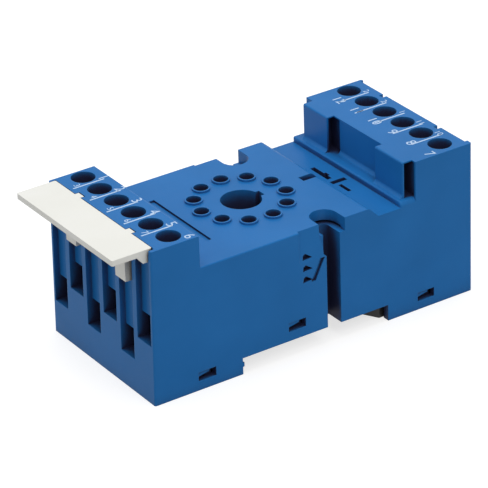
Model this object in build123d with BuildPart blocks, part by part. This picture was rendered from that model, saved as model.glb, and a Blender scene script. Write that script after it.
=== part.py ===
"""A relay socket for a 35 mm rail or a panel: eleven pin holes round a keyed centre hole,
twelve box clamp terminals on two levels, a sprung rail latch and a clip-on marker plate.

Millimetres. +X runs along the socket from the marker plate to the far terminal block, +Z is up,
and the origin is the centre of the overall footprint, on the surface that the feet stand on."""

import math
import os

from build123d import *

# Overall size
body_length = 77.9
body_width = 38.0
block_height = 34.0
near_end_lean = 0.7
far_end_lean = 0.1
side_wall = 1.6
end_wall = 3.0
fit_gap = 0.1
slide_gap = 0.15
lift_gap = 0.3
join = 0.5
cut_past = 1.0

# Deck, ramp, platform and terminal blocks, along the length
near_block_length = 11.7
far_block_length = 16.6
deck_height = 27.1
deck_thickness = 2.4
lower_deck_height = 24.8
lower_deck_length = 5.6
ramp_length = 2.25
platform_height = 26.07
platform_depth = 1.375
block_wall = 1.15
ramp_wall = 1.5
near_hollow_wall = 0.6
far_hollow_wall = 1.2
block_top = 3.7
corner_radius = 0.4
edge_radius = 0.35
deck_edge_radius = 0.3
platform_edge_radius = 1.1
ramp_radius = 1.2
side_set_in = 0.8
set_in_start = 35.0
set_in_foot = 20.0

# Front of the far block: two panels with a slot beside each, between two notched corners
panel_depth = 1.75
panel_thickness = 0.4
wall_foot = 0.9
wall_foot_sink = 0.01
panel_inner_y = 8.4
panel_outer_y = 17.75
left_notch_y = 16.8
slot_outer_y = 18.5
panel_slot_width = 2.1
right_slot_hidden = 2.6
left_slot_hidden = 4.3
slot_back_wall = 2.1
panel_slot_depth = 1.0
panel_slot_roof = 0.3
side_front_depth = 2.3

# Relay seat
relay_x = 34.07
pin_count = 11
pin_circle = 19.05
pin_hole = 3.1
pin_collar = 3.8
collar_height = 0.45
pin_hole_depth = 2.1
pin_bore = 3.5
pin_boss = 5.0
pin_boss_floor = 18.2
post_hole = 8.5
post_well_wall = 1.3
post_well_depth = 14.0
key_width = 2.0
key_reach = 5.0

# Feet and rail channel
rail_channel_x = 20.8
rail_channel_length = 35.7
rail_channel_height = 3.63
rail_lip_height = 2.6
rail_lip_reach = 1.1
rail_lip_thickness = 1.4
rail_lip_width = 30.0
rail_nub_reach = 0.35
rail_nub_height = 0.9
cover_floor = 1.6

# Panel screw slots, one in each side
screw_slot_x = 43.15
screw_slot_width = 3.3
screw_slot_y = 15.2
seat_width = 5.9
seat_y = 16.0
seat_height = 24.15
slot_block_wall = 1.5

# Terminals
terminal_count = 6
terminal_pitch = 6.28
terminal_offset = 0.4
groove_shift = -0.4
near_screw_inset = 7.1
far_screw_inset = 5.4
access_hole = 5.0
access_lip_hole = 4.0
access_lip = 0.7
pocket_width = 4.9
groove_depth = 1.3
window_height = 5.5
low_window_z = 7.4
level_step = 5.6

# Box clamps and screws
cage_length = 4.6
cage_width = 4.4
cage_wall = 0.55
cage_floor = 0.8
cage_roof = 1.6
cage_height = 6.5
cage_drop = 0.4
cage_radius = 0.4
screw_thread = 2.9
thread_gap = 0.05
screw_head = 4.4
screw_head_height = 2.2
screw_head_top = 29.6
driver_slot_width = 0.7
driver_slot_depth = 1.1
driver_cross_length = 2.64
screw_edge = 0.3

# Contacts
strip_width = 2.4
strip_thickness = 0.8
strip_rise = 3.1
sleeve_outer = 3.1
sleeve_inner = 2.5
sleeve_gap = 0.2
contact_post = 2.4
near_pins = [2, 3, 4, 5, 6, 7]
far_pins = [1, 1, 0, 10, 9, 8]
near_fan = 2.8
far_fan = 1.9
far_turn = 4.8
far_corner = 6.8
far_corner_end = -3.0
near_corner = -8.0
near_corner_end = -1.0
near_corner_y = 12.2

# Rail latch and its spring
latch_tip_reach = 3.05
latch_tip_half = 13.67
latch_flare_angle = 30.0
latch_height = 2.4
latch_ground = 0.15
latch_travel = 3.2
latch_plate_length = 2.8
stem_half = 4.5
stem_flange = 1.8
stem_step_height = 1.1
stem_top = 2.9
stem_length = 12.0
tail_half = 3.0
tail_top = 2.0
tail_inset = 0.4
tail_slot_inset = 1.2
tail_slot_length = 1.0
tail_slot_half = 2.0
latch_block_half = 8.2
latch_lead_in = 0.8
lead_in_end = 2.0
spring_wire = 0.36
spring_diameter = 1.9
spring_length = 6.2
spring_turns = 7
spring_inset = 3.6
spring_stop_thickness = 1.1

# Snap hooks of the cover in the windows of the housing: place along the length and height
hook_places = [(10.3, 2.1), (32.0, 5.75), (64.0, 1.95)]
hook_window_length = 4.15
hook_window_height = 1.95
hook_length = 2.8
hook_strap = 1.3
hook_inset = 0.4
hook_side_gap = 0.15
hook_rise = 0.75
hook_nose = 0.6
hook_nose_length = 0.3

# Marker plate
plate_reach = 7.05
plate_thickness = 1.2
plate_length = 35.7
plate_offset = 0.4
plate_overlap = 1.95
plate_gap = 0.05
plate_edge_gap = 0.12
tongue_spread = 9.4
tongue_width = 2.0
tongue_reach = 0.9
leg_spread = 9.2
leg_offset = 0.2
leg_width = 3.7
leg_front = 0.35
leg_length = 9.0
leg_thickness = 1.6
gusset_thickness = 1.0
far_gusset_inset = 0.3
gusset_reach = 0.3
gusset_length = 2.4
gusset_drop = 1.6
gusset_slope = 1.28
far_rebate_depth = 0.65
far_notch_width = 1.2
far_notch_reach = 1.0

# Small openings in the deck
deck_groove_x = 18.7
deck_groove_width = 1.25
deck_groove_length = 21.0
deck_groove_depth = 0.45
edge_pocket_length = 3.3
edge_pocket_depth = 1.7
edge_pocket_width = 1.9

# Slots in the lower deck: start and end past the ramp foot, and both sides across
deck_slots = [
    (1.2, 2.3, 0.3, 6.5),
    (2.2, 2.8, 1.7, 3.1),
    (0.9, 4.5, -2.1, -0.9),
    (1.5, 2.3, -6.6, -3.1),
]

# Teeth, guide slots and reliefs in both side faces
tooth_x = 35.75
tooth_z = 20.6
tooth_step = 2.5
tooth_count = 3
tooth_length = 2.2
tooth_height = 1.35
tooth_tip = 0.3
tooth_crest = 0.7
tooth_lean = 0.15
side_recess = 1.1
guide_slot_inset = 0.4
guide_slot_width = 1.1
guide_slot_drop = 4.6
guide_slot_run = 2.3
guide_slot_top = 19.9
guide_slot_depth = 0.7
slot_relief = 0.65
slot_relief_top = 22.3

# Places that follow from the sizes
half_width = body_width / 2
inner_half = half_width - side_wall
x_near = (plate_reach - body_length) / 2
x_far = x_near + body_length
x_block = x_near + near_block_length
x_panel = x_far - far_block_length
x_wall = x_panel + panel_depth
x_side_front = x_panel + side_front_depth
x_platform = x_panel - platform_depth
x_ramp_foot = x_platform - lower_deck_length
x_ramp_top = x_ramp_foot - ramp_length
x_relay = x_near + relay_x
x_rail = x_near + rail_channel_x
x_rail_end = x_rail + rail_channel_length
x_slot = x_near + screw_slot_x
x_near_inner = x_near + end_wall
x_far_inner = x_far - end_wall
x_near_screw = x_near + near_screw_inset
x_far_screw = x_far - far_screw_inset
pocket_top = block_height - block_top
cover_top = rail_channel_height + cover_floor
lower_ceiling = lower_deck_height - deck_thickness
deck_ceiling = deck_height - deck_thickness
terminal_rows = [terminal_offset + (2.5 - i) * terminal_pitch for i in range(terminal_count)]
near_levels = [low_window_z + (i % 2) * level_step for i in range(terminal_count)]
far_levels = [low_window_z + ((i + 1) % 2) * level_step for i in range(terminal_count)]
pin_angles = [(i + 0.5) * 360 / pin_count for i in range(pin_count)]
pin_points = [
    (
        x_relay + pin_circle / 2 * math.cos(math.radians(a)),
        pin_circle / 2 * math.sin(math.radians(a)),
    )
    for a in pin_angles
]
pin_levels = [
    min(
        (z for pin, z in zip(near_pins + far_pins, near_levels + far_levels) if pin == i),
        default=low_window_z,
    )
    for i in range(pin_count)
]
sleeve_top = deck_height - pin_hole_depth - sleeve_gap
groove_rows = [y + groove_shift for y in terminal_rows]
leg_rows = [leg_offset + leg_spread, leg_offset - leg_spread]
tongue_rows = [plate_offset + tongue_spread, plate_offset - tongue_spread]
plate_bottom = block_height - plate_thickness
rebate_floor = plate_bottom - plate_gap
slot_block_half = seat_width / 2 + slot_block_wall
slot_block_y = seat_y - seat_width / 2 - slot_block_wall


def near_face(z):
    """Where the near end face stands at a height."""
    return x_near + near_end_lean * z / block_height


def far_face(z):
    """Where the far end face stands at a height."""
    return x_far - far_end_lean * z / block_height


def across(y):
    """A plane that faces along Y, for a side profile drawn at a place across the width."""
    return Plane.XZ.offset(-y)


def add_box(x0, x1, y0, y1, z0, z1, mode=Mode.ADD):
    """A box between two corners, in the part being built."""
    with Locations(((x0 + x1) / 2, (y0 + y1) / 2, (z0 + z1) / 2)):
        Box(x1 - x0, y1 - y0, z1 - z0, mode=mode)


def edges_along_x(built, height, low_x, high_x, y):
    """The edges along X at one height and one Y, between two places along the length."""
    near_y = built.edges().filter_by(Axis.X).filter_by_position(Axis.Y, y - 0.01, y + 0.01)
    level = near_y.filter_by_position(Axis.Z, height - 0.01, height + 0.01)
    return level.filter_by_position(Axis.X, low_x, high_x)


def edges_across(built, height, x):
    """The edges across the width at one height and one place along the length."""
    level = built.edges().filter_by(Axis.Y).filter_by_position(Axis.Z, height - 0.01, height + 0.01)
    return level.filter_by_position(Axis.X, x - 0.01, x + 0.01)


def save(part, name):
    """Labels a piece and writes it."""
    part.label = name
    export_step(part, f"parts/{name}.step")


def screw_slot_sketch(side, slot_width, y_end, extra=0.0):
    """An open ended slot in one side, round at its inner end."""
    half = slot_width / 2 + extra
    centre = side * y_end
    edge = side * (half_width + cut_past)
    with Locations((x_slot, centre)):
        Circle(half)
    with Locations((x_slot, (centre + edge) / 2)):
        Rectangle(2 * half, abs(edge - centre))


def strip_routes():
    """The strips: pin index, level, and points from the clamp to the last turn before the pin."""
    start_near = x_near_screw - cage_length / 2 + strip_width / 2 + fit_gap
    start_far = x_far_screw + cage_length / 2 - strip_width / 2 - fit_gap
    slot_side = slot_block_y - strip_width / 2 - 2 * fit_gap
    found = []
    for row, y in enumerate(terminal_rows):
        near_path = [(start_near, y), (x_rail - near_fan, y)]
        far_path = [(start_far, y), (x_slot + far_turn, y)]
        if row == 0:
            near_path[1] = (x_relay + near_corner, y)
            near_path.append((x_relay + near_corner_end, near_corner_y))
        if row in (0, terminal_count - 1):
            side = 1 if y > 0 else -1
            far_path[1] = (x_platform - far_fan, y)
            far_path.append((x_slot + far_corner, side * slot_side))
        if row == terminal_count - 1:
            far_path.append((x_slot + far_corner_end, side * slot_side))
        found.append((near_pins[row], near_levels[row], near_path))
        found.append((far_pins[row], far_levels[row], far_path))
    return found


def strip_height(level):
    """Underside of the strip that enters a clamp on this level."""
    return level - cage_drop + cage_floor + strip_rise


os.makedirs("parts", exist_ok=True)

# Housing: the moulded shell that carries the deck, both terminal blocks and all side walls
with BuildPart() as housing:
    with BuildSketch(Plane.XZ):
        with BuildLine():
            Polyline(
                (x_near, 0),
                (x_near + near_end_lean, block_height),
                (x_block, block_height),
                (x_block, deck_height),
                (x_ramp_top, deck_height),
                (x_ramp_foot, lower_deck_height),
                (x_platform, lower_deck_height),
                (x_platform, platform_height),
                (x_panel, platform_height),
                (x_panel, block_height),
                (x_far - far_end_lean, block_height),
                (x_far, 0),
                (x_rail_end, 0),
                (x_rail_end, rail_channel_height),
                (x_rail, rail_channel_height),
                (x_rail, 0),
                close=True,
            )
        make_face()
    extrude(amount=half_width, both=True)
    upright = housing.edges().filter_by(lambda edge: abs(edge.tangent_at(0.5).Z) > 0.9)
    fillet(upright.group_by(Axis.X)[0] + upright.group_by(Axis.X)[-1], corner_radius)

    # Panel screw slots: a wide seat for the head, and the slot below it
    for side in (1, -1):
        with BuildSketch(Plane.XY.offset(seat_height)):
            screw_slot_sketch(side, seat_width, seat_y)
        extrude(amount=deck_height, mode=Mode.SUBTRACT)

    # Front of the far block: a notch at both corners, the wall set back between the panels
    for y_notch in ((-half_width - cut_past, -panel_outer_y), (left_notch_y, half_width + cut_past)):
        add_box(
            x_panel - cut_past, x_side_front, y_notch[0], y_notch[1],
            platform_height, block_height + cut_past, Mode.SUBTRACT,
        )
    add_box(
        x_panel - cut_past, x_wall, -panel_inner_y, panel_inner_y,
        platform_height, block_height + cut_past, Mode.SUBTRACT,
    )

    # Soft edges along the deck, the ramp, the platform and the blocks
    for height, low_x, high_x, side, radius in (
        (deck_height, x_block, x_slot, 1, deck_edge_radius),
        (deck_height, x_block, x_slot, -1, deck_edge_radius),
        (platform_height, x_platform, x_side_front, 1, deck_edge_radius),
        (platform_height, x_platform, x_side_front, -1, platform_edge_radius),
    ):
        edges = edges_along_x(housing, height, low_x, high_x, side * half_width)
        fillet(edges, radius)
    ramp_top = edges_across(housing, deck_height, x_ramp_top)
    ramp_foot = edges_across(housing, lower_deck_height, x_ramp_foot)
    platform_front = edges_across(housing, platform_height, x_platform)
    block_fronts = edges_across(housing, block_height, x_block)
    block_fronts += edges_across(housing, block_height, x_panel)
    fillet(ramp_top, ramp_radius)
    fillet(ramp_foot, ramp_radius / 2)
    fillet(platform_front, edge_radius)
    fillet(block_fronts, edge_radius)

    # A rounded foot along the panels and the wall between them, and a slot beside each panel
    foot_radius = wall_foot + wall_foot_sink
    foot_rise = foot_radius / math.sqrt(2)
    for x_foot, y0, y1 in (
        (x_panel, -panel_outer_y, -panel_inner_y),
        (x_wall, -panel_inner_y, panel_inner_y),
        (x_panel, panel_inner_y, left_notch_y),
    ):
        with BuildSketch(across((y0 + y1) / 2)):
            with BuildLine():
                x_round = x_foot - wall_foot
                z_round = platform_height + wall_foot
                ThreePointArc(
                    (x_round, z_round - foot_radius),
                    (x_round + foot_rise, z_round - foot_rise),
                    (x_round + foot_radius, z_round),
                )
                Polyline(
                    (x_round + foot_radius, z_round),
                    (x_foot + join, z_round),
                    (x_foot + join, platform_height - join),
                    (x_round, platform_height - join),
                    (x_round, z_round - foot_radius),
                )
            make_face()
        extrude(amount=(y1 - y0) / 2, both=True)
    for y_slot, y_behind in (
        (panel_inner_y - panel_slot_width, panel_inner_y + right_slot_hidden),
        (-slot_outer_y, -panel_outer_y + left_slot_hidden),
    ):
        add_box(
            x_panel + panel_thickness, x_wall + panel_slot_depth, y_slot, y_behind,
            platform_height, block_height - panel_slot_roof, Mode.SUBTRACT,
        )

    # Both sides lean in a little beside the panel screw slots, from a step to the slot
    for side in (1, -1):
        with BuildSketch(Plane.YZ.offset(x_near + set_in_start)):
            with BuildLine():
                Polyline(
                    (side * half_width, set_in_foot),
                    (side * (half_width - side_set_in), deck_height + cut_past),
                    (side * (half_width + cut_past), deck_height + cut_past),
                    (side * (half_width + cut_past), set_in_foot),
                    close=True,
                )
            make_face()
        extrude(amount=screw_slot_x - set_in_start, mode=Mode.SUBTRACT)

    # Hollow under the deck, and a pocket for each terminal
    add_box(
        x_block + near_hollow_wall, x_ramp_top - ramp_wall, -inner_half, inner_half,
        -cut_past, deck_ceiling, Mode.SUBTRACT,
    )
    add_box(
        x_ramp_top - ramp_wall - fit_gap, x_wall + far_hollow_wall + fit_gap,
        -inner_half, inner_half, -cut_past, lower_ceiling, Mode.SUBTRACT,
    )
    for y in terminal_rows:
        y0 = y - pocket_width / 2
        y1 = y + pocket_width / 2
        add_box(
            x_near_inner, x_block - block_wall, y0, y1, -cut_past, pocket_top, Mode.SUBTRACT,
        )
        add_box(
            x_near_inner, x_block + near_hollow_wall + fit_gap, y0, y1,
            -cut_past, deck_ceiling, Mode.SUBTRACT,
        )
        add_box(
            x_wall + panel_slot_depth + slot_back_wall, x_far_inner, y0, y1,
            -cut_past, pocket_top, Mode.SUBTRACT,
        )
        add_box(
            x_wall + far_hollow_wall, x_far_inner, y0, y1,
            -cut_past, lower_ceiling, Mode.SUBTRACT,
        )

    # Blocks round the panel screw slots, the pin bosses and the well of the centre hole
    for side in (1, -1):
        y_block = sorted((side * slot_block_y, side * (half_width - side_wall / 2)))
        add_box(
            x_slot - slot_block_half, x_slot + slot_block_half, y_block[0], y_block[1],
            rail_channel_height, seat_height,
        )
    with BuildSketch(Plane.XY.offset(pin_boss_floor)):
        with Locations(*pin_points):
            Circle(pin_boss / 2)
    extrude(amount=deck_ceiling + join - pin_boss_floor)
    with BuildSketch(Plane.XY.offset(deck_height)):
        with Locations(*pin_points):
            Circle(pin_collar / 2)
    extrude(amount=collar_height)
    with BuildSketch(Plane.XY.offset(deck_height - post_well_depth - post_well_wall)):
        with Locations((x_relay, 0)):
            Circle(key_reach + post_well_wall)
    extrude(amount=post_well_depth + post_well_wall - join)

    # Room for the cover that closes the bottom
    add_box(
        x_near_inner, x_rail + cut_past, -inner_half, inner_half,
        -cut_past, cover_floor + fit_gap, Mode.SUBTRACT,
    )
    add_box(
        x_rail - cover_floor - fit_gap, x_slot - slot_block_half, -inner_half, inner_half,
        -cut_past, cover_top + fit_gap, Mode.SUBTRACT,
    )
    add_box(
        x_slot - slot_block_half - cut_past, x_slot + slot_block_half + cut_past,
        -slot_block_y, slot_block_y,
        -cut_past, cover_top + fit_gap, Mode.SUBTRACT,
    )
    add_box(
        x_slot + slot_block_half, x_far_inner, -inner_half, inner_half,
        -cut_past, cover_top + fit_gap, Mode.SUBTRACT,
    )

    # Holes in the deck
    with BuildSketch(Plane.XY.offset(deck_height + collar_height)):
        with Locations(*pin_points):
            Circle(pin_hole / 2)
    extrude(amount=-(collar_height + pin_hole_depth + fit_gap), mode=Mode.SUBTRACT)
    with BuildSketch(Plane.XY.offset(deck_height - pin_hole_depth)):
        with Locations(*pin_points):
            Circle(pin_bore / 2)
    extrude(amount=-(deck_height - pin_hole_depth - pin_boss_floor + cut_past), mode=Mode.SUBTRACT)
    with BuildSketch(Plane.XY.offset(deck_height)):
        with Locations((x_relay, 0)):
            Circle(post_hole / 2)
        with Locations((x_relay + key_reach / 2, 0)):
            Rectangle(key_reach, key_width)
    extrude(amount=-post_well_depth, mode=Mode.SUBTRACT)
    add_box(
        x_near + deck_groove_x, x_near + deck_groove_x + deck_groove_width,
        -deck_groove_length / 2, deck_groove_length / 2,
        deck_height - deck_groove_depth, deck_height + cut_past, Mode.SUBTRACT,
    )
    add_box(
        x_ramp_top - edge_pocket_length, x_ramp_foot, -edge_pocket_width / 2, edge_pocket_width / 2,
        deck_height - edge_pocket_depth, deck_height + cut_past, Mode.SUBTRACT,
    )
    for start, end, y0, y1 in deck_slots:
        add_box(
            x_ramp_foot + start, x_ramp_foot + end, y0, y1,
            lower_ceiling - cut_past, lower_deck_height + cut_past, Mode.SUBTRACT,
        )

    # Panel screw slots, down through both side blocks
    for side in (1, -1):
        with BuildSketch(Plane.XY):
            screw_slot_sketch(side, screw_slot_width, screw_slot_y)
        extrude(amount=deck_height, mode=Mode.SUBTRACT)

    # Screwdriver holes, each with a lip that keeps its screw in
    with BuildSketch(Plane.XY.offset(block_height)):
        with Locations(*[(x, y) for x in (x_near_screw, x_far_screw) for y in terminal_rows]):
            Circle(access_hole / 2)
    extrude(amount=-(block_top - access_lip), mode=Mode.SUBTRACT)
    with BuildSketch(Plane.XY.offset(block_height)):
        with Locations(*[(x, y) for x in (x_near_screw, x_far_screw) for y in terminal_rows]):
            Circle(access_lip_hole / 2)
    extrude(amount=-block_top - cut_past, mode=Mode.SUBTRACT)

    # Wire grooves and windows in both end faces
    for y, near_z, far_z in zip(groove_rows, near_levels, far_levels):
        with BuildSketch(across(y)):
            with BuildLine():
                Polyline(
                    (x_near - cut_past, near_z),
                    (near_face(near_z) + groove_depth, near_z),
                    (near_face(block_height) + groove_depth, block_height + cut_past),
                    (x_near - cut_past, block_height + cut_past),
                    close=True,
                )
            make_face()
            with BuildLine():
                Polyline(
                    (x_far + cut_past, far_z),
                    (far_face(far_z) - groove_depth, far_z),
                    (far_face(rebate_floor) - groove_depth, rebate_floor),
                    (x_far + cut_past, rebate_floor),
                    close=True,
                )
            make_face()
        extrude(amount=pocket_width / 2, both=True, mode=Mode.SUBTRACT)
        y0 = y - pocket_width / 2
        y1 = y + pocket_width / 2
        add_box(
            x_near, x_near_inner + join, y0, y1, near_z, near_z + window_height, Mode.SUBTRACT,
        )
        add_box(x_far_inner - join, x_far, y0, y1, far_z, far_z + window_height, Mode.SUBTRACT)

    # Rebates in the outer top edges for a marker plate, with a notch for each of its tongues
    y_plate = (
        plate_offset - plate_length / 2 - plate_edge_gap,
        plate_offset + plate_length / 2 + plate_edge_gap,
    )
    add_box(
        x_near - cut_past, x_near + plate_overlap + plate_edge_gap, y_plate[0], y_plate[1],
        rebate_floor, block_height + cut_past, Mode.SUBTRACT,
    )
    add_box(
        x_far - far_end_lean - far_rebate_depth, x_far + cut_past, y_plate[0], y_plate[1],
        rebate_floor, block_height + cut_past, Mode.SUBTRACT,
    )
    for y in tongue_rows:
        tongue_half = tongue_width / 2 + plate_edge_gap
        add_box(
            x_near, x_near + plate_overlap + tongue_reach + 2 * plate_edge_gap,
            y - tongue_half, y + tongue_half,
            rebate_floor, block_height + cut_past, Mode.SUBTRACT,
        )
        add_box(
            x_far - far_end_lean - far_rebate_depth - far_notch_reach, x_far,
            y - far_notch_width / 2, y + far_notch_width / 2,
            rebate_floor, block_height + cut_past, Mode.SUBTRACT,
        )

    # Teeth, guide slots and hook windows in both sides
    for side in (1, -1):
        with BuildSketch(across(side * (half_width - side_recess))):
            for i in range(tooth_count):
                with BuildLine():
                    x0 = x_near + tooth_x
                    z0 = tooth_z - i * tooth_step
                    Polyline(
                        (x0, z0),
                        (x0 + tooth_lean, z0 + tooth_height - tooth_tip),
                        (x0 + tooth_crest, z0 + tooth_height),
                        (x0 + tooth_length, z0 + tooth_tip),
                        (x0 + tooth_length, z0 + tooth_lean),
                        close=True,
                    )
                make_face()
            with BuildLine():
                x0 = x_slot - screw_slot_width / 2
                Polyline(
                    (x0, guide_slot_top),
                    (x0 - slot_relief, guide_slot_top + slot_relief),
                    (x0 - slot_relief, slot_relief_top),
                    (x_slot - seat_width / 2, seat_height),
                    (x0, seat_height),
                    close=True,
                )
            make_face()
        extrude(amount=-side * (side_recess + cut_past), mode=Mode.SUBTRACT)
        with BuildSketch(across(side * (half_width - guide_slot_depth))):
            with BuildLine():
                x0 = x_slot - screw_slot_width / 2 - guide_slot_inset
                Polyline(
                    (x0, guide_slot_top),
                    (x0 - guide_slot_width, guide_slot_top),
                    (x0 - guide_slot_width - guide_slot_run, guide_slot_top - guide_slot_drop),
                    (x0 - guide_slot_run, guide_slot_top - guide_slot_drop),
                    close=True,
                )
            make_face()
        extrude(amount=-side * (guide_slot_depth + cut_past), mode=Mode.SUBTRACT)
        for x, z in hook_places:
            y_window = sorted((side * (inner_half - join), side * (half_width + cut_past)))
            add_box(
                x_near + x, x_near + x + hook_window_length, y_window[0], y_window[1],
                z, z + hook_window_height, Mode.SUBTRACT,
            )

    # Small nubs of the rail lip at both side faces
    for side in (1, -1):
        y_nub = sorted((side * inner_half, side * half_width))
        add_box(
            x_rail - join, x_rail + rail_nub_reach, y_nub[0], y_nub[1],
            rail_lip_height - rail_nub_height, rail_lip_height,
        )

    # Way out for the tail of the rail latch
    add_box(
        x_far_inner - cut_past, x_far + cut_past, -tail_half - lift_gap, tail_half + lift_gap,
        -cut_past, tail_top + lift_gap, Mode.SUBTRACT,
    )

save(housing.part, "housing")

# Cover: closes the bottom, holds the rail lip, the seats of the clamps and the latch channel
cover_half = inner_half - fit_gap
latch_room = x_rail_end + latch_plate_length + latch_travel + 2 * fit_gap
stem_end = x_rail_end + latch_plate_length + stem_length
seat_half = pocket_width / 2 - slide_gap - fit_gap
with BuildPart() as base_cover:
    with BuildSketch(Plane.XZ):
        with BuildLine():
            Polyline(
                (x_near_inner + fit_gap, 0),
                (x_rail, 0),
                (x_rail, rail_channel_height),
                (x_rail_end, rail_channel_height),
                (x_rail_end, latch_height + slide_gap),
                (latch_room, latch_height + slide_gap),
                (latch_room, 0),
                (x_far_inner - fit_gap, 0),
                (x_far_inner - fit_gap, cover_floor),
                (latch_room + cover_floor, cover_floor),
                (latch_room + cover_floor, cover_top),
                (x_rail - cover_floor, cover_top),
                (x_rail - cover_floor, cover_floor),
                (x_near_inner + fit_gap, cover_floor),
                close=True,
            )
        make_face()
    extrude(amount=cover_half, both=True)
    add_box(latch_room, x_far_inner - fit_gap, -latch_block_half, latch_block_half, 0, cover_top)
    add_box(
        x_rail - join, x_rail + rail_lip_reach, -rail_lip_width / 2, rail_lip_width / 2,
        rail_lip_height - rail_lip_thickness, rail_lip_height,
    )

    # Seats under the clamps, and a post under each contact sleeve
    for y, near_z, far_z in zip(terminal_rows, near_levels, far_levels):
        y0 = max(y - seat_half, -cover_half)
        y1 = min(y + seat_half, cover_half)
        for x, z in ((x_near_screw, near_z), (x_far_screw, far_z)):
            add_box(
                x - cage_length / 2, x + cage_length / 2, y0, y1,
                cover_floor / 2, z - cage_drop - fit_gap,
            )
    for (x, y), level in zip(pin_points, pin_levels):
        with BuildSketch(Plane.XY.offset(cover_top - join)):
            with Locations((x, y)):
                Circle(contact_post / 2)
        extrude(amount=strip_height(level) - fit_gap - cover_top + join)

    # Straps with snap hooks, one in each window of the housing
    for side in (1, -1):
        for x, z in hook_places:
            y_strap = sorted((side * (cover_half - hook_strap), side * cover_half))
            x0 = x_near + x + hook_side_gap
            hook_top = z + hook_window_height - fit_gap
            floor_z = cover_floor if z < rail_channel_height else cover_top
            add_box(
                x0, x0 + hook_window_length - 2 * hook_side_gap, y_strap[0], y_strap[1],
                floor_z / 2, z + hook_window_height + lift_gap,
            )
            with BuildSketch(across(side * (cover_half - 2 * fit_gap))):
                with BuildLine():
                    Polyline(
                        (x0, z + hook_rise),
                        (x0, hook_top),
                        (x0 + hook_length, hook_top),
                        (x0 + hook_length - hook_nose_length, hook_top - hook_nose),
                        close=True,
                    )
                make_face()
            extrude(amount=-side * (half_width - hook_inset - cover_half + 2 * fit_gap))

    # Cut-outs round the slot blocks of the housing
    for side in (1, -1):
        y_block = sorted((side * (slot_block_y - fit_gap), side * (half_width + cut_past)))
        add_box(
            x_slot - slot_block_half - fit_gap, x_slot + slot_block_half + fit_gap,
            y_block[0], y_block[1], 0, seat_height, Mode.SUBTRACT,
        )

    # Channel of the latch stem, wider above than below, and the stop of its spring
    add_box(
        x_rail_end - cut_past, x_far, -stem_half - slide_gap, stem_half + slide_gap,
        -cut_past, stem_top + lift_gap, Mode.SUBTRACT,
    )
    add_box(
        x_rail_end - cut_past, stem_end + latch_travel + lift_gap,
        -stem_half - stem_flange - slide_gap, stem_half + stem_flange + slide_gap,
        stem_step_height, stem_top + lift_gap, Mode.SUBTRACT,
    )
    spring_start = x_rail_end + spring_inset
    spring_stop = spring_start + spring_length + fit_gap
    add_box(
        spring_stop, spring_stop + spring_stop_thickness,
        -spring_diameter / 2 + 2 * fit_gap, spring_diameter / 2 - 2 * fit_gap,
        stem_step_height, cover_top,
    )

save(base_cover.part, "base_cover")

# Rail latch: a wide tongue under the rail, a stem in the cover's channel and a tail at the end
with BuildPart() as rail_latch:
    tip = x_rail_end - latch_tip_reach
    latch_half = cover_half - fit_gap
    flare = (latch_half - latch_tip_half) * math.tan(math.radians(latch_flare_angle))
    back = x_rail_end + latch_plate_length
    with BuildSketch(Plane.XY.offset(latch_ground)):
        with BuildLine():
            Polyline(
                (tip, -latch_tip_half),
                (tip, latch_tip_half),
                (tip + flare, latch_half),
                (back, latch_half),
                (back, -latch_half),
                (tip + flare, -latch_half),
                close=True,
            )
        make_face()
    extrude(amount=latch_height - latch_ground)
    with BuildSketch(across(0)):
        with BuildLine():
            Polyline(
                (tip, 0),
                (tip + latch_lead_in + latch_ground, 0),
                (tip, latch_lead_in + latch_ground),
                close=True,
            )
        make_face()
    extrude(amount=latch_tip_half - lead_in_end, both=True, mode=Mode.SUBTRACT)
    stem_step = stem_step_height + fit_gap
    add_box(back - join, stem_end, -stem_half, stem_half, latch_ground, stem_step)
    add_box(
        back - join, stem_end, -stem_half - stem_flange, stem_half + stem_flange,
        stem_step, stem_top,
    )
    tail_end = x_far - tail_inset
    add_box(stem_end - join, tail_end, -tail_half, tail_half, 2 * latch_ground, tail_top)
    add_box(
        tail_end - tail_slot_inset - tail_slot_length, tail_end - tail_slot_inset,
        -tail_slot_half, tail_slot_half, 0, tail_top + cut_past, Mode.SUBTRACT,
    )
    add_box(
        spring_start, spring_stop + spring_stop_thickness + lift_gap,
        -spring_diameter / 2 - slide_gap, spring_diameter / 2 + slide_gap,
        stem_step_height - slide_gap, stem_top + cut_past, Mode.SUBTRACT,
    )

save(rail_latch.part, "rail_latch")

# Return spring of the latch, between the latch and the cover's stop
spring_z = stem_step_height + spring_diameter / 2
spring_pitch = (spring_length - spring_wire - fit_gap) / spring_turns
with BuildPart() as latch_spring:
    with BuildLine() as coil_line:
        Helix(
            pitch=spring_pitch,
            height=spring_pitch * spring_turns,
            radius=(spring_diameter - spring_wire) / 2,
            center=(spring_start + (spring_wire + fit_gap) / 2, 0, spring_z),
            direction=(1, 0, 0),
        )
    coil = coil_line.wires()[0]
    with BuildSketch(Plane(origin=coil @ 0, z_dir=coil % 0)):
        Circle(spring_wire / 2)
    sweep(path=coil, is_frenet=True)

save(latch_spring.part, "latch_spring")

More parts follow.
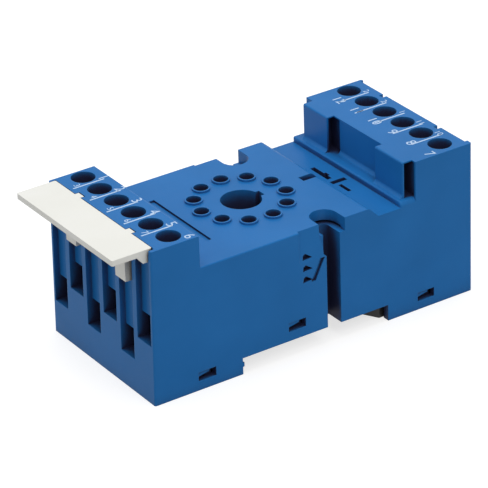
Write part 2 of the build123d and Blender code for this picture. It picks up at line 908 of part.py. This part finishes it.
# Marker plate: overhangs the near end, with two legs in the wire grooves
with BuildPart() as marker_plate:
    y0 = plate_offset - plate_length / 2
    y1 = plate_offset + plate_length / 2
    add_box(x_near - plate_reach, x_near + plate_overlap, y0, y1, plate_bottom, block_height)
    rim = marker_plate.edges().filter_by(Axis.Z)
    fillet(rim, edge_radius)
    for y in tongue_rows:
        add_box(
            x_near + plate_overlap - join, x_near + plate_overlap + tongue_reach,
            y - tongue_width / 2, y + tongue_width / 2, plate_bottom, block_height,
        )
    for y in leg_rows:
        add_box(
            x_near - leg_front, x_near - leg_front + leg_thickness,
            y - leg_width / 2, y + leg_width / 2,
            block_height - plate_thickness / 2 - leg_length, plate_bottom + join,
        )
    gusset_end = near_face(plate_bottom) + gusset_reach
    for y in (y0 + gusset_thickness / 2, y1 - gusset_thickness / 2 - far_gusset_inset):
        with BuildSketch(across(y)):
            with BuildLine():
                Polyline(
                    (gusset_end - gusset_length, plate_bottom + join),
                    (gusset_end - gusset_length, plate_bottom),
                    (gusset_end - gusset_length + gusset_slope, plate_bottom - gusset_drop),
                    (gusset_end, plate_bottom - gusset_drop),
                    (gusset_end, plate_bottom + join),
                    close=True,
                )
            make_face()
        extrude(amount=gusset_thickness / 2, both=True)

save(marker_plate.part, "marker_plate")

# Contacts: a sleeve under each pin hole, with a strip to its clamp
routes = strip_routes()
for index, (px, py) in enumerate(pin_points):
    own = [(level, points) for pin, level, points in routes if pin == index]
    sleeve_floor = strip_height(pin_levels[index])
    with BuildPart() as contact:
        for level, points in own:
            with BuildSketch(Plane.XY.offset(strip_height(level))):
                path = points + [(px, py)]
                for (ax, ay), (bx, by) in zip(path, path[1:]):
                    run = math.hypot(bx - ax, by - ay)
                    with Locations(((ax + bx) / 2, (ay + by) / 2)):
                        SlotCenterToCenter(
                            run, strip_width, rotation=math.degrees(math.atan2(by - ay, bx - ax))
                        )
            extrude(amount=strip_thickness)
        with BuildSketch(Plane.XY.offset(sleeve_floor)):
            with Locations((px, py)):
                Circle(sleeve_outer / 2)
        extrude(amount=sleeve_top - sleeve_floor)
        with BuildSketch(Plane.XY.offset(sleeve_top)):
            with Locations((px, py)):
                Circle(sleeve_inner / 2)
        extrude(amount=-(sleeve_top - sleeve_floor + cut_past), mode=Mode.SUBTRACT)
    save(contact.part, f"contact_{index + 1:02d}")

# Clamps and their screws, numbered along the near row and then the far row
places = [(x_near_screw, y, z) for y, z in zip(terminal_rows, near_levels)]
places += [(x_far_screw, y, z) for y, z in zip(terminal_rows, far_levels)]
for number, (x, y, level) in enumerate(places, start=1):
    cage_z = level - cage_drop
    with BuildPart() as cage:
        add_box(
            x - cage_length / 2, x + cage_length / 2, y - cage_width / 2, y + cage_width / 2,
            cage_z, cage_z + cage_height,
        )
        fillet(cage.edges().filter_by(Axis.X), cage_radius)
        add_box(
            x - cage_length, x + cage_length,
            y - cage_width / 2 + cage_wall, y + cage_width / 2 - cage_wall,
            cage_z + cage_floor, cage_z + cage_height - cage_roof, Mode.SUBTRACT,
        )
        with BuildSketch(Plane.XY.offset(cage_z + cage_height)):
            with Locations((x, y)):
                Circle(screw_thread / 2 + thread_gap)
        extrude(amount=-cage_roof - 2 * fit_gap, mode=Mode.SUBTRACT)
    save(cage.part, f"clamp_cage_{number:02d}")

    with BuildPart() as screw:
        tip_z = strip_height(level) + strip_thickness + fit_gap / 2
        with BuildSketch(Plane.XY.offset(tip_z)):
            with Locations((x, y)):
                Circle(screw_thread / 2)
        extrude(amount=screw_head_top - screw_head_height - tip_z)
        with BuildSketch(Plane.XY.offset(screw_head_top - screw_head_height)):
            with Locations((x, y)):
                Circle(screw_head / 2)
        extrude(amount=screw_head_height)
        fillet(screw.edges().group_by(Axis.Z)[-1], screw_edge)
        chamfer(screw.edges().group_by(Axis.Z)[0], screw_edge)
        with BuildSketch(Plane.XY.offset(screw_head_top)):
            with Locations((x, y)):
                Rectangle(screw_head + cut_past, driver_slot_width)
                Rectangle(driver_slot_width, driver_cross_length)
        extrude(amount=-driver_slot_depth, mode=Mode.SUBTRACT)
    save(screw.part, f"clamp_screw_{number:02d}")
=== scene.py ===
"""Looks of a relay socket: moulded blue plastic with pale printed numbers, a white marker plate,
a black rail latch, plated steel clamps and brass contacts. Lengths are in metres."""

import math

import bmesh
import bpy
from mathutils import Matrix, Vector


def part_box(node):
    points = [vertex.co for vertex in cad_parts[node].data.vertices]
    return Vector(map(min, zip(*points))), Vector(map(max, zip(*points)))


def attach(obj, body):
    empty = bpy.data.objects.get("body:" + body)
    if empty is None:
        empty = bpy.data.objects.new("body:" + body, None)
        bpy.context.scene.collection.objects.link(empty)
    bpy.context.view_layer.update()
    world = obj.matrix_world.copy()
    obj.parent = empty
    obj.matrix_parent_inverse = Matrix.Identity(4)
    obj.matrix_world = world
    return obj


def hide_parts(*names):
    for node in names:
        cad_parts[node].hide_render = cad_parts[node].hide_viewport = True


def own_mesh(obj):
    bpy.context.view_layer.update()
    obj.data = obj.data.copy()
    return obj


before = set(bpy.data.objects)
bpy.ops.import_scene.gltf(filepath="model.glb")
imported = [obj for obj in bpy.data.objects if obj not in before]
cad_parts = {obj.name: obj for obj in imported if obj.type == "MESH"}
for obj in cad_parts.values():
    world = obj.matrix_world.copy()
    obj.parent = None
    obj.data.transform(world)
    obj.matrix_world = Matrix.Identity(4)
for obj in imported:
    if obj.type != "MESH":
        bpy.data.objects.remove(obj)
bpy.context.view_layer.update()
bpy.context.scene.view_settings.view_transform = "Standard"

MM = 0.001

# Places from the CAD parts in model.glb: the near end, the tops of both terminal blocks, and the
# rows of screws
housing_low, housing_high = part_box("housing")
x_near = housing_low[0]
top = housing_high[2]
near_screws = [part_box(f"clamp_screw_{i:02d}") for i in range(1, 7)]
rows = [(low[1] + high[1]) / 2 for low, high in near_screws]

# Camera, as found from the photograph: sizes in pixels, and the sensor in millimetres
photo_size = 488
focal_pixels = 3200.35
sensor = 36.0
camera_place = Vector((-0.313255, -0.47917, 0.3228))
camera_azimuth = math.radians(-33.088)
camera_elevation = math.radians(28.146)
camera_roll = math.radians(-2.025)

# Painted shade in holes and corners: how far round a surface its openness is looked at, and
# from what openness up to what other one a surface turns from wholly painted shade to wholly
# in the open
shade_reach = 12 * MM
plastic_shade = 0.36, 0.5
metal_shade = 0.15, 0.75
# The painted shade colour, near black, that metal turns to in holes and corners
metal_painted_shade = (0.02, 0.02, 0.022, 1)

# Light and floor
world_light = 0.58
floor_tone = 0.45
floor_glow = 0.7
floor_reach = 3.0
floor_gap = 0.02 * MM
lamp_target = (0, 0, 0.02)


def srgb(code):
    """The linear colour of a hex code."""
    parts = [int(code[i : i + 2], 16) / 255 for i in (1, 3, 5)]
    linear = [c / 12.92 if c <= 0.04045 else ((c + 0.055) / 1.055) ** 2.4 for c in parts]
    return (*linear, 1.0)


class Nodes:
    """Short names for making a material's nodes."""

    def __init__(self, name):
        self.material = bpy.data.materials.new(name)
        self.material.use_nodes = True
        self.tree = self.material.node_tree
        self.shader = self.tree.nodes["Principled BSDF"]
        self.place = self.add("ShaderNodeTexCoord").outputs["Object"]

    def add(self, kind, **settings):
        node = self.tree.nodes.new(kind)
        for key, value in settings.items():
            setattr(node, key, value)
        return node

    def link(self, out, into):
        self.tree.links.new(out, into)

    def noise(self, size, detail=2.0, roughness=0.5, stretch=None):
        """Noise whose blobs are about this size."""
        texture = self.add("ShaderNodeTexNoise")
        texture.inputs["Scale"].default_value = 1 / size
        texture.inputs["Detail"].default_value = detail
        texture.inputs["Roughness"].default_value = roughness
        where = self.place
        if stretch:
            mapping = self.add("ShaderNodeMapping")
            mapping.inputs["Scale"].default_value = stretch
            self.link(self.place, mapping.inputs["Vector"])
            where = mapping.outputs["Vector"]
        self.link(where, texture.inputs["Vector"])
        return texture.outputs["Fac"]

    def ramp(self, value, stops):
        """A colour ramp through (place, colour) stops."""
        ramp = self.add("ShaderNodeValToRGB")
        ramp.color_ramp.elements[0].position, ramp.color_ramp.elements[0].color = stops[0]
        ramp.color_ramp.elements[1].position, ramp.color_ramp.elements[1].color = stops[-1]
        for place, colour in stops[1:-1]:
            ramp.color_ramp.elements.new(place).color = colour
        self.link(value, ramp.inputs["Fac"])
        return ramp.outputs["Color"]

    def between(self, value, low, high):
        """Spreads a 0 to 1 value over another range."""
        spread = self.add("ShaderNodeMapRange")
        spread.inputs["To Min"].default_value = low
        spread.inputs["To Max"].default_value = high
        self.link(value, spread.inputs["Value"])
        return spread.outputs["Result"]

    def with_painted_shade(self, colour, shade_colour, low, high):
        """The colour with painted shade: it turns to a shade colour where the surface lies far
        down in a hole or in a corner.
        """
        occlusion = self.add("ShaderNodeAmbientOcclusion")
        occlusion.samples = 12
        occlusion.inputs["Distance"].default_value = shade_reach
        spread = self.add("ShaderNodeMapRange")
        spread.inputs["From Min"].default_value = low
        spread.inputs["From Max"].default_value = high
        self.link(occlusion.outputs["AO"], spread.inputs["Value"])
        mix = self.add("ShaderNodeMix", data_type="RGBA")
        mix.inputs["A"].default_value = shade_colour
        self.link(spread.outputs["Result"], mix.inputs["Factor"])
        self.link(colour, mix.inputs["B"])
        return mix.outputs["Result"]

    def relief(self, height, distance, round_edges=None):
        """Bump on the surface, on top of softened edges."""
        bump = self.add("ShaderNodeBump")
        bump.inputs["Strength"].default_value = 1.0
        bump.inputs["Distance"].default_value = distance
        self.link(height, bump.inputs["Height"])
        if round_edges:
            bevel = self.add("ShaderNodeBevel")
            bevel.samples = 6
            bevel.inputs["Radius"].default_value = round_edges
            self.link(bevel.outputs["Normal"], bump.inputs["Normal"])
        self.link(bump.outputs["Normal"], self.shader.inputs["Normal"])


def moulded(name, colour, darker, lighter, shade_colour, roughness=(0.34, 0.44), gloss=0.5):
    """Moulded plastic: faint flow shades, a fine spark-eroded grain, softened edges, and painted
    shade in holes and corners.
    """
    n = Nodes(name)
    n.shader.inputs["Specular IOR Level"].default_value = gloss
    stops = [(0.3, srgb(darker)), (0.5, srgb(colour)), (0.7, srgb(lighter))]
    flow = n.ramp(n.noise(14 * MM, detail=3.0), stops)
    # Painted shade: the plastic turns to its shade colour in holes and corners
    n.link(n.with_painted_shade(flow, srgb(shade_colour), *plastic_shade), n.shader.inputs["Base Color"])
    n.link(n.between(n.noise(3 * MM), *roughness), n.shader.inputs["Roughness"])
    n.relief(n.noise(0.25 * MM, detail=3.0, roughness=0.6), 0.003 * MM, 0.18 * MM)
    return n.material


def metal(name, colour, darker, roughness=(0.25, 0.42), stretch=(1, 1, 14)):
    """Plated or rolled metal with fine lines along one direction, and painted shade, near black,
    in holes and corners.
    """
    n = Nodes(name)
    n.shader.inputs["Metallic"].default_value = 1.0
    tone = n.ramp(n.noise(2 * MM), [(0.3, darker), (0.7, colour)])
    # Painted shade: the metal turns near black in holes and corners
    n.link(n.with_painted_shade(tone, metal_painted_shade, *metal_shade), n.shader.inputs["Base Color"])
    lines = n.noise(0.9 * MM, detail=3.0, stretch=stretch)
    n.link(n.between(lines, *roughness), n.shader.inputs["Roughness"])
    n.relief(lines, 0.006 * MM, 0.08 * MM)
    return n.material


def print_ink(name, colour, worn):
    """Thin pad-printed ink, a little uneven."""
    n = Nodes(name)
    tone = n.ramp(n.noise(0.5 * MM, detail=3.0), [(0.3, worn), (0.6, colour)])
    n.link(tone, n.shader.inputs["Base Color"])
    n.shader.inputs["Roughness"].default_value = 0.55
    return n.material


# Each plastic's last colour is its painted shade in holes and corners
blue = moulded("blue_plastic", "#1e6bae", "#1c68a9", "#206eb2", "#2c2e4a", gloss=0.12)
white = moulded("white_plastic", "#e5e5df", "#e2e2dc", "#e7e7e3", "#8f8e8c", (0.42, 0.52))
black = moulded("black_plastic", "#1c1c1e", "#19191b", "#202022", "#0c0c0d")
plated = metal("plated_steel", (0.62, 0.61, 0.58, 1), (0.54, 0.53, 0.5, 1))
zinc = metal("zinc_screw", (0.66, 0.66, 0.64, 1), (0.58, 0.58, 0.56, 1), stretch=(6, 6, 1))
brass = metal("contact_brass", (0.75, 0.58, 0.28, 1), (0.66, 0.5, 0.23, 1))
wire = metal("spring_wire", (0.5, 0.5, 0.5, 1), (0.42, 0.42, 0.42, 1), stretch=(12, 1, 1))
ink = print_ink("pale_ink", srgb("#bdd4ee"), srgb("#a0bfe2"))


def dress(node, material):
    """Gives a CAD node its material."""
    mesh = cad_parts[node].data
    mesh.materials.clear()
    mesh.materials.append(material)


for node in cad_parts:
    if node.startswith("contact"):
        dress(node, brass)
    elif node.startswith("clamp_cage"):
        dress(node, plated)
    elif node.startswith("clamp_screw"):
        dress(node, zinc)
dress("housing", blue)
dress("base_cover", blue)
dress("marker_plate", white)
dress("rail_latch", black)

# Return spring: a copy of the CAD spring in spring wire, riding with the socket
spring = bpy.data.objects.new("return_spring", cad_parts["latch_spring"].data.copy())
bpy.context.collection.objects.link(spring)
spring.data.materials.clear()
spring.data.materials.append(wire)
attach(spring, "socket")
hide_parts("latch_spring")
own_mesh(spring)

# Printed lines and numbers on the terminal blocks
ink_thickness = 0.02 * MM
line_width = 0.35 * MM
near_line_ends = x_near + 2.9 * MM, x_near + 10.1 * MM
far_line_ends = x_near + 67.7 * MM, x_near + 75.3 * MM
number_size = 3.2 * MM
near_number_x = x_near + 10.2 * MM
far_number_x = x_near + 68.1 * MM
near_number_drop = 2.5 * MM
far_number_drop = 2.4 * MM
pin_number_size = 2.0 * MM
near_pin_number_x = x_near + 4.2 * MM
far_pin_number_x = x_near + 75.2 * MM
pin_number_drop = 2.3 * MM
near_pin_numbers = ["3", "4", "5", "6", "7"]
far_pin_numbers = ["2", "2", "1", "11", "10"]


def ink_piece(name, obj):
    """Puts the ink on a printed piece that rides with the housing."""
    obj.name = name
    obj.data.materials.clear()
    obj.data.materials.append(ink)
    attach(obj, "socket")


def printed_line(name, x0, x1, y):
    """A straight printed line along X on a block's top."""
    mesh = bpy.data.meshes.new(name)
    shape = bmesh.new()
    bmesh.ops.create_cube(shape, size=1.0)
    size = Matrix.Diagonal((x1 - x0, line_width, ink_thickness, 1))
    middle = Matrix.Translation(((x0 + x1) / 2, y, top + ink_thickness / 2))
    bmesh.ops.transform(shape, matrix=middle @ size, verts=shape.verts)
    shape.to_mesh(mesh)
    shape.free()
    obj = bpy.data.objects.new(name, mesh)
    bpy.context.collection.objects.link(obj)
    ink_piece(name, obj)


def printed_number(name, text, x, y, size):
    """A plain printed number on a block's top, with its foot towards the near end."""
    curve = bpy.data.curves.new(name, "FONT")
    curve.body = text
    curve.size = size
    curve.align_x = "CENTER"
    curve.align_y = "CENTER"
    curve.extrude = ink_thickness / 2
    curve.resolution_u = 3
    text_object = bpy.data.objects.new(name + "_text", curve)
    bpy.context.collection.objects.link(text_object)
    bpy.context.view_layer.update()
    mesh = bpy.data.meshes.new_from_object(text_object)
    bpy.data.objects.remove(text_object)
    obj = bpy.data.objects.new(name, mesh)
    bpy.context.collection.objects.link(obj)
    place = Matrix.Translation((x, y, top + ink_thickness / 2))
    mesh.transform(place @ Matrix.Rotation(-math.pi / 2, 4, "Z"))
    ink_piece(name, obj)


# A line between neighbouring clamps, the clamp's number on the inside and its pin's on the outside
for i in range(len(rows) - 1):
    middle = (rows[i] + rows[i + 1]) / 2
    printed_line(f"near_line_{i + 1}", *near_line_ends, middle)
    printed_line(f"far_line_{i + 1}", *far_line_ends, middle)
near_numbers = [str(1 + i) for i in range(len(rows))]
far_numbers = [str(2 * len(rows) - i) for i in range(len(rows))]
printed = (
    ("near_number", near_numbers, near_number_x, near_number_drop, number_size),
    ("far_number", far_numbers, far_number_x, far_number_drop, number_size),
    ("near_pin_number", near_pin_numbers, near_pin_number_x, pin_number_drop, pin_number_size),
    ("far_pin_number", far_pin_numbers, far_pin_number_x, pin_number_drop, pin_number_size),
)
for i, y in enumerate(rows):
    for name, numbers, x, drop, size in printed:
        if i < len(numbers):
            printed_number(f"{name}_{i + 1}", numbers[i], x, y - drop, size)


# Camera
def photo_camera():
    """The camera that took the photograph."""
    az, el, roll = camera_azimuth, camera_elevation, camera_roll
    back = Vector((math.sin(az) * math.cos(el), -math.cos(az) * math.cos(el), math.sin(el)))
    right = Vector((math.cos(az), math.sin(az), 0))
    up = back.cross(right)
    turned_right = math.cos(roll) * right + math.sin(roll) * up
    turned_up = -math.sin(roll) * right + math.cos(roll) * up
    data = bpy.data.cameras.new("photo_camera")
    data.sensor_width = sensor
    data.lens = sensor * focal_pixels / photo_size
    data.clip_start, data.clip_end = 0.05, 10
    camera = bpy.data.objects.new("photo_camera", data)
    bpy.context.collection.objects.link(camera)
    axes = Matrix((turned_right, turned_up, back)).transposed().to_4x4()
    camera.matrix_world = Matrix.Translation(camera_place) @ axes
    bpy.context.scene.camera = camera


photo_camera()


# Floor, world and lamps
def shown_rays(tree):
    """1 for the rays that show a background: straight from the camera, mirrored or through."""
    rays = tree.nodes.new("ShaderNodeLightPath")
    found = rays.outputs["Is Camera Ray"]
    for kind in ("Is Glossy Ray", "Is Transmission Ray"):
        either = tree.nodes.new("ShaderNodeMath")
        either.operation = "MAXIMUM"
        tree.links.new(found, either.inputs[0])
        tree.links.new(rays.outputs[kind], either.inputs[1])
        found = either.outputs[0]
    return found


def white_floor():
    """A pale floor that keeps the object's shadow."""
    mesh = bpy.data.meshes.new("floor")
    square = (-1, -1), (1, -1), (1, 1), (-1, 1)
    corners = [(x * floor_reach, y * floor_reach, -floor_gap) for x, y in square]
    mesh.from_pydata(corners, [], [(0, 1, 2, 3)])
    floor = bpy.data.objects.new("floor", mesh)
    bpy.context.collection.objects.link(floor)
    n = Nodes("floor")
    n.shader.inputs["Base Color"].default_value = (floor_tone, floor_tone, floor_tone, 1)
    n.shader.inputs["Roughness"].default_value = 1.0
    n.shader.inputs["Specular IOR Level"].default_value = 0.0
    n.shader.inputs["Emission Color"].default_value = (1, 1, 1, 1)
    seen = n.add("ShaderNodeMath", operation="MULTIPLY")
    seen.inputs[1].default_value = floor_glow
    n.link(shown_rays(n.tree), seen.inputs[0])
    n.link(seen.outputs[0], n.shader.inputs["Emission Strength"])
    mesh.materials.append(n.material)


def studio_world():
    """Even light from all round, and a white background for the camera."""
    world = bpy.data.worlds.new("studio")
    bpy.context.scene.world = world
    world.use_nodes = True
    tree = world.node_tree
    tree.nodes.clear()
    lit = tree.nodes.new("ShaderNodeBackground")
    lit.inputs["Color"].default_value = (1, 1, 1, 1)
    lit.inputs["Strength"].default_value = world_light
    plain = tree.nodes.new("ShaderNodeBackground")
    plain.inputs["Color"].default_value = (1, 1, 1, 1)
    plain.inputs["Strength"].default_value = 1.0
    mix = tree.nodes.new("ShaderNodeMixShader")
    tree.links.new(shown_rays(tree), mix.inputs["Fac"])
    tree.links.new(lit.outputs[0], mix.inputs[1])
    tree.links.new(plain.outputs[0], mix.inputs[2])
    out = tree.nodes.new("ShaderNodeOutputWorld")
    tree.links.new(mix.outputs[0], out.inputs["Surface"])


def soft_lamp(name, place, size, power):
    """A square area lamp that looks at the object."""
    data = bpy.data.lights.new(name, "AREA")
    data.shape = "SQUARE"
    data.size = size
    data.energy = power
    lamp = bpy.data.objects.new(name, data)
    bpy.context.collection.objects.link(lamp)
    lamp.location = place
    lamp.rotation_mode = "QUATERNION"
    lamp.rotation_quaternion = (Vector(lamp_target) - Vector(place)).to_track_quat("-Z", "Y")


white_floor()
studio_world()
soft_lamp("overhead", (-0.02, 0.12, 0.7), size=0.6, power=2.1)
soft_lamp("key", (-0.02, -0.53, 0.62), size=0.4, power=1.3)
